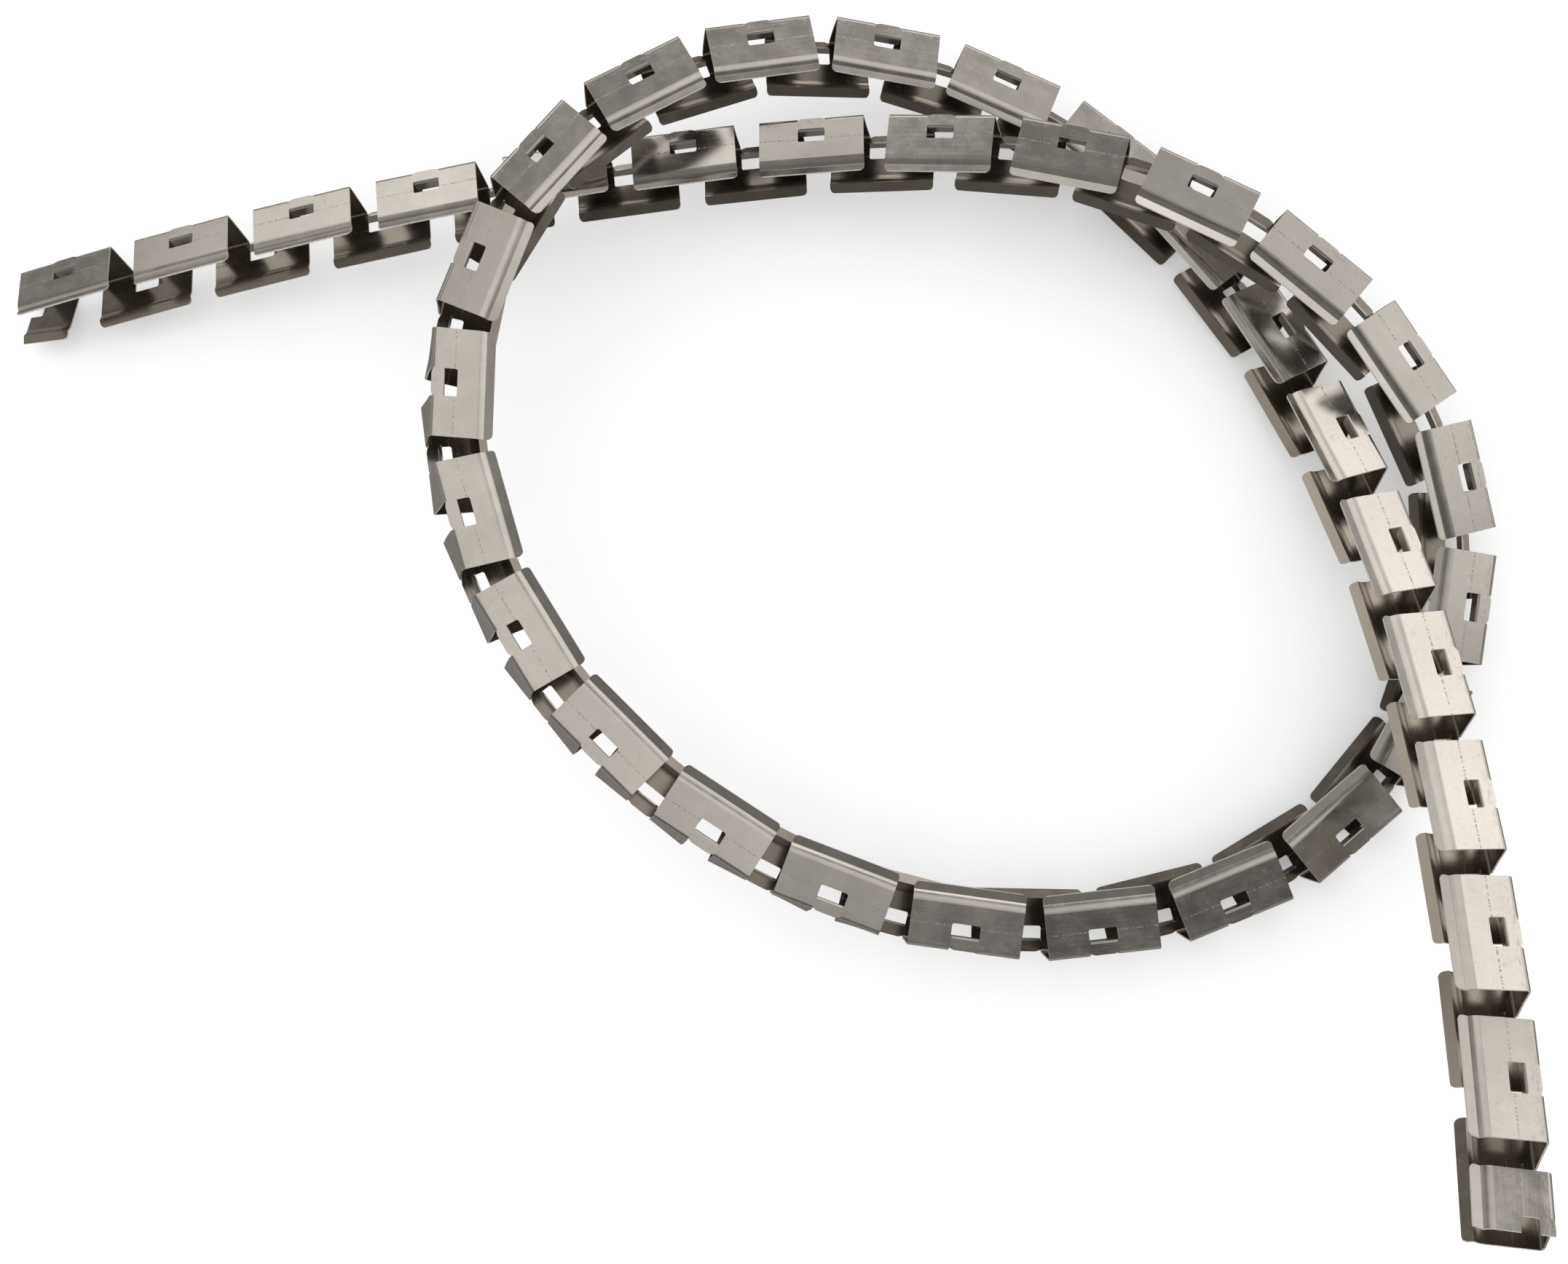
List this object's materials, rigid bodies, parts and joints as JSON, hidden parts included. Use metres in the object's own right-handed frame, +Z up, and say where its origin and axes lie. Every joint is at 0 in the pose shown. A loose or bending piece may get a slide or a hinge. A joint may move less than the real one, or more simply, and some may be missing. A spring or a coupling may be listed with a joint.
{
  "type": "folded steel clip strip",
  "caption": "Flexible strip of folded sheet-steel channel clips, linked by narrow webs and tied in a loose overhand knot; the mouth grips a panel edge or trim core.",
  "frame": {"origin": "on the table, below the middle of the whole knotted strip", "axes": "+Z up from the table; +X from the left tail to the right tail, along the longest side; +Y towards the top of the loop"},
  "size_m": [0.2818, 0.2168, 0.0726],
  "materials": {
    "steel": "satin, as rolled"
  },
  "bodies": {
    "cut_end_start": {"cut_end_start": "steel"},
    "clip_01": {"clip_01": "steel"},
    "clip_02": {"clip_02": "steel"},
    "clip_03": {"clip_03": "steel"},
    "clip_04": {"clip_04": "steel"},
    "clip_05": {"clip_05": "steel"},
    "clip_06": {"clip_06": "steel"},
    "clip_07": {"clip_07": "steel"},
    "clip_08": {"clip_08": "steel"},
    "clip_09": {"clip_09": "steel"},
    "clip_10": {"clip_10": "steel"},
    "clip_11": {"clip_11": "steel"},
    "clip_12": {"clip_12": "steel"},
    "clip_13": {"clip_13": "steel"},
    "clip_14": {"clip_14": "steel"},
    "clip_15": {"clip_15": "steel"},
    "clip_16": {"clip_16": "steel"},
    "clip_17": {"clip_17": "steel"},
    "clip_18": {"clip_18": "steel"},
    "clip_19": {"clip_19": "steel"},
    "clip_20": {"clip_20": "steel"},
    "clip_21": {"clip_21": "steel"},
    "clip_22": {"clip_22": "steel"},
    "clip_23": {"clip_23": "steel"},
    "clip_24": {"clip_24": "steel"},
    "clip_25": {"clip_25": "steel"},
    "clip_26": {"clip_26": "steel"},
    "clip_27": {"clip_27": "steel"},
    "clip_28": {"clip_28": "steel"},
    "clip_29": {"clip_29": "steel"},
    "clip_30": {"clip_30": "steel"},
    "clip_31": {"clip_31": "steel"},
    "clip_32": {"clip_32": "steel"},
    "clip_33": {"clip_33": "steel"},
    "clip_34": {"clip_34": "steel"},
    "clip_35": {"clip_35": "steel"},
    "clip_36": {"clip_36": "steel"},
    "clip_37": {"clip_37": "steel"},
    "clip_38": {"clip_38": "steel"},
    "clip_39": {"clip_39": "steel"},
    "clip_40": {"clip_40": "steel"},
    "cut_end_finish": {"cut_end_finish": "steel"}
  },
  "joints": [
    {"name": "flex_01", "type": "hinge", "parent": "clip_01", "child": "cut_end_start", "pos_m": [-0.13518, 0.06852, 0.00632], "axis": [-0.1771, 0.3122, 0.9334], "range_deg": [-12, 6]},
    {"name": "flex_02", "type": "hinge", "parent": "clip_02", "child": "clip_01", "pos_m": [-0.11085, 0.0732, 0.00965], "axis": [0.1634, -0.2582, -0.9522], "range_deg": [-12, 12]},
    {"name": "flex_03", "type": "hinge", "parent": "clip_03", "child": "clip_02", "pos_m": [-0.08638, 0.07767, 0.0122], "axis": [-0.1236, 0.2187, 0.9679], "range_deg": [-12, 12]},
    {"name": "flex_04", "type": "hinge", "parent": "clip_04", "child": "clip_03", "pos_m": [-0.06179, 0.08178, 0.01396], "axis": [0.0825, -0.1785, -0.9805], "range_deg": [-12, 12]},
    {"name": "flex_05", "type": "hinge", "parent": "clip_05", "child": "clip_04", "pos_m": [-0.03706, 0.08533, 0.01495], "axis": [-0.0412, 0.1367, 0.9898], "range_deg": [-12, 12]},
    {"name": "flex_06", "type": "hinge", "parent": "clip_06", "child": "clip_05", "pos_m": [-0.01222, 0.08815, 0.01514], "axis": [0.0221, -0.0885, -0.9958], "range_deg": [-12, 12]},
    {"name": "flex_07", "type": "hinge", "parent": "clip_07", "child": "clip_06", "pos_m": [0.0127, 0.08977, 0.01618], "axis": [-0.0698, 0.0305, 0.9971], "range_deg": [-12, 12]},
    {"name": "flex_08", "type": "hinge", "parent": "clip_08", "child": "clip_07", "pos_m": [0.03756, 0.08919, 0.01859], "axis": [0.1258, 0.0152, -0.9919], "range_deg": [-12, 7]},
    {"name": "flex_09", "type": "hinge", "parent": "clip_09", "child": "clip_08", "pos_m": [0.06195, 0.08537, 0.02238], "axis": [-0.1412, -0.0484, 0.9888], "range_deg": [-3.75, 10.5]},
    {"name": "flex_10", "type": "hinge", "parent": "clip_10", "child": "clip_09", "pos_m": [0.08557, 0.0774, 0.02358], "axis": [0.0194, 0.1174, -0.9929], "range_deg": [-9, 2.25]},
    {"name": "flex_11", "type": "hinge", "parent": "clip_11", "child": "clip_10", "pos_m": [0.10704, 0.06498, 0.02086], "axis": [0.0595, -0.1786, 0.9821], "range_deg": [-1.5, 10]},
    {"name": "flex_12", "type": "hinge", "parent": "clip_12", "child": "clip_11", "pos_m": [0.12478, 0.04796, 0.01664], "axis": [-0.1254, 0.134, -0.983], "range_deg": [-6.5, 1]},
    {"name": "flex_13", "type": "hinge", "parent": "clip_13", "child": "clip_12", "pos_m": [0.13642, 0.02649, 0.01175], "axis": [0.1991, -0.1542, 0.9678], "range_deg": [-0.75, 2.5]},
    {"name": "flex_14", "type": "hinge", "parent": "clip_14", "child": "clip_13", "pos_m": [0.1394, 0.00226, 0.00698], "axis": [-0.1856, 0.1507, -0.971], "range_deg": [-1.5, 0.5]},
    {"name": "flex_15", "type": "hinge", "parent": "clip_15", "child": "clip_14", "pos_m": [0.13303, -0.0217, 0.0048], "axis": [0.1868, -0.1264, 0.9742], "range_deg": [-0.5, 2]},
    {"name": "flex_16", "type": "hinge", "parent": "clip_16", "child": "clip_15", "pos_m": [0.11855, -0.04194, 0.00523], "axis": [-0.1985, 0.1317, -0.9712], "range_deg": [-2.25, 0.5]},
    {"name": "flex_17", "type": "hinge", "parent": "clip_17", "child": "clip_16", "pos_m": [0.09822, -0.05627, 0.00682], "axis": [0.1555, -0.1455, 0.9771], "range_deg": [-0.75, 2]},
    {"name": "flex_18", "type": "hinge", "parent": "clip_18", "child": "clip_17", "pos_m": [0.07458, -0.06389, 0.00905], "axis": [-0.1283, 0.1451, -0.9811], "range_deg": [-2, 1]},
    {"name": "flex_19", "type": "hinge", "parent": "clip_19", "child": "clip_18", "pos_m": [0.04982, -0.06501, 0.01193], "axis": [0.1184, -0.1257, 0.985], "range_deg": [-2, 2.5]},
    {"name": "flex_20", "type": "hinge", "parent": "clip_20", "child": "clip_19", "pos_m": [0.02558, -0.06024, 0.01547], "axis": [-0.14, 0.0693, -0.9877], "range_deg": [-3.5, 2.25]},
    {"name": "flex_21", "type": "hinge", "parent": "clip_20", "child": "clip_21", "pos_m": [0.0031, -0.05023, 0.01965], "axis": [-0.1904, 0.0305, -0.9812], "range_deg": [-3.75, 4.75]},
    {"name": "flex_22", "type": "hinge", "parent": "clip_21", "child": "clip_22", "pos_m": [-0.01668, -0.03578, 0.02447], "axis": [0.2463, -0.0056, 0.9692], "range_deg": [-3.25, 5]},
    {"name": "flex_23", "type": "hinge", "parent": "clip_22", "child": "clip_23", "pos_m": [-0.03303, -0.01739, 0.02865], "axis": [-0.283, -0.0249, -0.9588], "range_deg": [-2.25, 1.75]},
    {"name": "flex_24", "type": "hinge", "parent": "clip_23", "child": "clip_24", "pos_m": [-0.04452, 0.00454, 0.03175], "axis": [0.3429, 0.0218, 0.9391], "range_deg": [-1.25, 1.5]},
    {"name": "flex_25", "type": "hinge", "parent": "clip_24", "child": "clip_25", "pos_m": [-0.04964, 0.02885, 0.03377], "axis": [-0.3716, 0.0273, -0.928], "range_deg": [-1.25, 1]},
    {"name": "flex_26", "type": "hinge", "parent": "clip_25", "child": "clip_26", "pos_m": [-0.04723, 0.05365, 0.0342], "axis": [0.2767, -0.0553, 0.9594], "range_deg": [-0.75, 1]},
    {"name": "flex_27", "type": "hinge", "parent": "clip_26", "child": "clip_27", "pos_m": [-0.03704, 0.07635, 0.03289], "axis": [-0.2069, 0.0356, -0.9777], "range_deg": [-0.75, 0.75]},
    {"name": "flex_28", "type": "hinge", "parent": "clip_27", "child": "clip_28", "pos_m": [-0.0199, 0.09415, 0.02985], "axis": [0.1852, 0.0002, 0.9827], "range_deg": [-0.75, 0.75]},
    {"name": "flex_29", "type": "hinge", "parent": "clip_28", "child": "clip_29", "pos_m": [0.00215, 0.1049, 0.02553], "axis": [-0.2025, -0.0041, -0.9793], "range_deg": [-0.75, 1.25]},
    {"name": "flex_30", "type": "hinge", "parent": "clip_29", "child": "clip_30", "pos_m": [0.02629, 0.1079, 0.0201], "axis": [0.24, -0.0052, 0.9708], "range_deg": [-2, 1]},
    {"name": "flex_31", "type": "hinge", "parent": "clip_30", "child": "clip_31", "pos_m": [0.05009, 0.1035, 0.01413], "axis": [-0.2212, 0.017, -0.9751], "range_deg": [-1.25, 6.25]},
    {"name": "flex_32", "type": "hinge", "parent": "clip_31", "child": "clip_32", "pos_m": [0.07199, 0.09254, 0.00936], "axis": [0.1956, -0.0076, 0.9807], "range_deg": [-9, 2]},
    {"name": "flex_33", "type": "hinge", "parent": "clip_32", "child": "clip_33", "pos_m": [0.09055, 0.07625, 0.0058], "axis": [-0.1689, -0.0313, -0.9851], "range_deg": [-3.25, 8]},
    {"name": "flex_34", "type": "hinge", "parent": "clip_33", "child": "clip_34", "pos_m": [0.10516, 0.05603, 0.00554], "axis": [0.1092, 0.1437, 0.9836], "range_deg": [-10, 4.5]},
    {"name": "flex_35", "type": "hinge", "parent": "clip_34", "child": "clip_35", "pos_m": [0.11577, 0.03375, 0.00927], "axis": [-0.0931, -0.2769, -0.9564], "range_deg": [-7.75, 12]},
    {"name": "flex_36", "type": "hinge", "parent": "clip_35", "child": "clip_36", "pos_m": [0.12301, 0.01083, 0.01612], "axis": [0.0856, 0.3143, 0.9454], "range_deg": [-12, 12]},
    {"name": "flex_37", "type": "hinge", "parent": "clip_36", "child": "clip_37", "pos_m": [0.12759, -0.01256, 0.02364], "axis": [-0.0724, -0.3257, -0.9427], "range_deg": [-12, 12]},
    {"name": "flex_38", "type": "hinge", "parent": "clip_37", "child": "clip_38", "pos_m": [0.12995, -0.03606, 0.03182], "axis": [0.0516, 0.353, 0.9342], "range_deg": [-12, 12]},
    {"name": "flex_39", "type": "hinge", "parent": "clip_38", "child": "clip_39", "pos_m": [0.1304, -0.05914, 0.04138], "axis": [-0.0191, -0.4144, -0.9099], "range_deg": [-12, 12]},
    {"name": "flex_40", "type": "hinge", "parent": "clip_39", "child": "clip_40", "pos_m": [0.12914, -0.08147, 0.05254], "axis": [-0.0053, 0.4792, 0.8777], "range_deg": [-12, 12]},
    {"name": "flex_41", "type": "hinge", "parent": "clip_40", "child": "cut_end_finish", "pos_m": [0.12637, -0.10283, 0.06522], "axis": [0.0222, -0.545, -0.8382], "range_deg": [-12, 12]}
  ]
}
